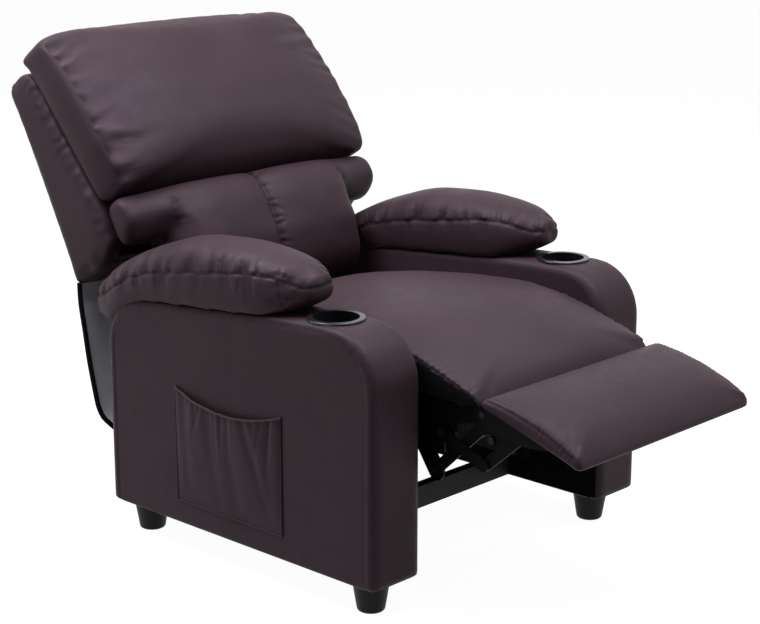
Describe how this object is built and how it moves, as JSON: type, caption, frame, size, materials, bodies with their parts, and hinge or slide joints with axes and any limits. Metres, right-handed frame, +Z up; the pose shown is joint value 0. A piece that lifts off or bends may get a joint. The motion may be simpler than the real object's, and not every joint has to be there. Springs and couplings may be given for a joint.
{
  "type": "recliner armchair",
  "caption": "Push-back recliner armchair with padded arms, cup wells, a side pocket, a fold-out footrest that moves with a gliding seat, and a reclining back.",
  "frame": {"origin": "on the floor under the middle of the chair's box, with the footrest out and the back reclined", "axes": "+Z up, the sitter faces -Y, the sitter's left is +X"},
  "size_m": [0.7254, 1.261, 0.8888],
  "materials": {
    "leather": "satin",
    "flap_leather": "satin",
    "black_plastic": "satin",
    "foot_plastic": "satin",
    "black_steel": "satin",
    "zinc_steel": "satin",
    "wood": "matte",
    "black_rail": "matte",
    "foam": "matte",
    "black_cloth": "matte"
  },
  "bodies": {
    "base": {"left_arm_cover": "leather", "right_arm_cover": "leather", "left_arm_frame": "wood", "right_arm_frame": "wood", "left_arm_pad": "leather", "right_arm_pad": "leather", "left_cup_holder": "black_plastic", "right_cup_holder": "black_plastic", "side_pocket": "leather", "left_front_foot": "foot_plastic", "right_front_foot": "foot_plastic", "left_rear_foot": "foot_plastic", "right_rear_foot": "foot_plastic", "front_cross_rail": "black_rail", "rear_cross_rail": "black_rail", "left_base_plate": "black_steel", "right_base_plate": "black_steel", "base_plate_bolts": "zinc_steel", "base_pivot_studs": "zinc_steel"},
    "front_swing": {"left_front_swing_arm": "black_steel", "right_front_swing_arm": "black_steel"},
    "rear_swing": {"left_rear_swing_arm": "black_steel", "right_rear_swing_arm": "black_steel"},
    "seat": {"seat_front_rail": "wood", "seat_rear_rail": "wood", "left_seat_rail": "wood", "right_seat_rail": "wood", "seat_springs": "zinc_steel", "seat_dust_cloth": "black_cloth", "seat_cushion": "leather", "left_seat_plate": "black_steel", "right_seat_plate": "black_steel", "seat_pivot_pins": "zinc_steel"},
    "footrest": {"footrest_board": "wood", "footrest_pad": "leather", "left_footrest_bracket": "black_steel", "right_footrest_bracket": "black_steel"},
    "rear_lower_links": {"left_rear_lower_link": "black_steel", "right_rear_lower_link": "black_steel"},
    "rear_upper_links": {"left_rear_upper_link": "black_steel", "right_rear_upper_link": "black_steel"},
    "front_lower_links": {"left_front_lower_link": "black_steel", "right_front_lower_link": "black_steel"},
    "front_upper_links": {"left_front_upper_link": "black_steel", "right_front_upper_link": "black_steel"},
    "back": {"left_back_post": "wood", "right_back_post": "wood", "back_top_rail": "wood", "back_lower_rail": "wood", "back_lower_panel": "wood", "left_back_bracket": "black_steel", "right_back_bracket": "black_steel", "left_wing": "leather", "right_wing": "leather", "back_foam": "foam", "head_pillow": "leather", "lumbar_cushion": "leather", "rear_back_panel": "leather", "rear_flap": "flap_leather"}
  },
  "joints": [
    {"name": "seat_glide", "type": "hinge", "parent": "base", "child": "front_swing", "pos_m": [0, -0.13911, 0.12], "axis": [1, 0, 0], "range_deg": [-44, 0]},
    {"name": "rear_swing_hinge", "type": "hinge", "parent": "base", "child": "rear_swing", "pos_m": [0, 0.16089, 0.12], "axis": [1, 0, 0], "range_deg": [-44.01, 0]},
    {"name": "seat_hinge", "type": "hinge", "parent": "front_swing", "child": "seat", "pos_m": [0, -0.20467, 0.28226], "axis": [1, 0, 0], "range_deg": [0, 44.01]},
    {"name": "footrest_hinge", "type": "hinge", "parent": "seat", "child": "footrest", "pos_m": [0, -0.43111, 0.352], "axis": [1, 0, 0], "range_deg": [0, 72.71]},
    {"name": "rear_lower_link_hinge", "type": "hinge", "parent": "seat", "child": "rear_lower_links", "pos_m": [0, -0.32311, 0.231], "axis": [1, 0, 0], "range_deg": [-13.76, 0]},
    {"name": "rear_upper_link_hinge", "type": "hinge", "parent": "rear_lower_links", "child": "rear_upper_links", "pos_m": [0, -0.42311, 0.326], "axis": [1, 0, 0], "range_deg": [0, 76.97]},
    {"name": "front_lower_link_hinge", "type": "hinge", "parent": "seat", "child": "front_lower_links", "pos_m": [0, -0.34111, 0.302], "axis": [1, 0, 0], "range_deg": [0, 53.89]},
    {"name": "front_upper_link_hinge", "type": "hinge", "parent": "front_lower_links", "child": "front_upper_links", "pos_m": [0, -0.43111, 0.266], "axis": [1, 0, 0], "range_deg": [-59.81, 0]},
    {"name": "back_recline", "type": "hinge", "parent": "seat", "child": "back", "pos_m": [0, 0.29289, 0.342], "axis": [1, 0, 0], "range_deg": [-10, 18]}
  ],
  "couplings": [
    {"joint": "rear_swing_hinge", "follows": "seat_glide", "ratio": 1},
    {"joint": "seat_hinge", "follows": "seat_glide", "ratio": -1},
    {"joint": "footrest_hinge", "follows": "seat_glide", "ratio": -1.6523},
    {"joint": "rear_lower_link_hinge", "follows": "seat_glide", "ratio": 0.3126},
    {"joint": "rear_upper_link_hinge", "follows": "seat_glide", "ratio": -1.749},
    {"joint": "front_lower_link_hinge", "follows": "seat_glide", "ratio": -1.2245},
    {"joint": "front_upper_link_hinge", "follows": "seat_glide", "ratio": 1.3591}
  ]
}
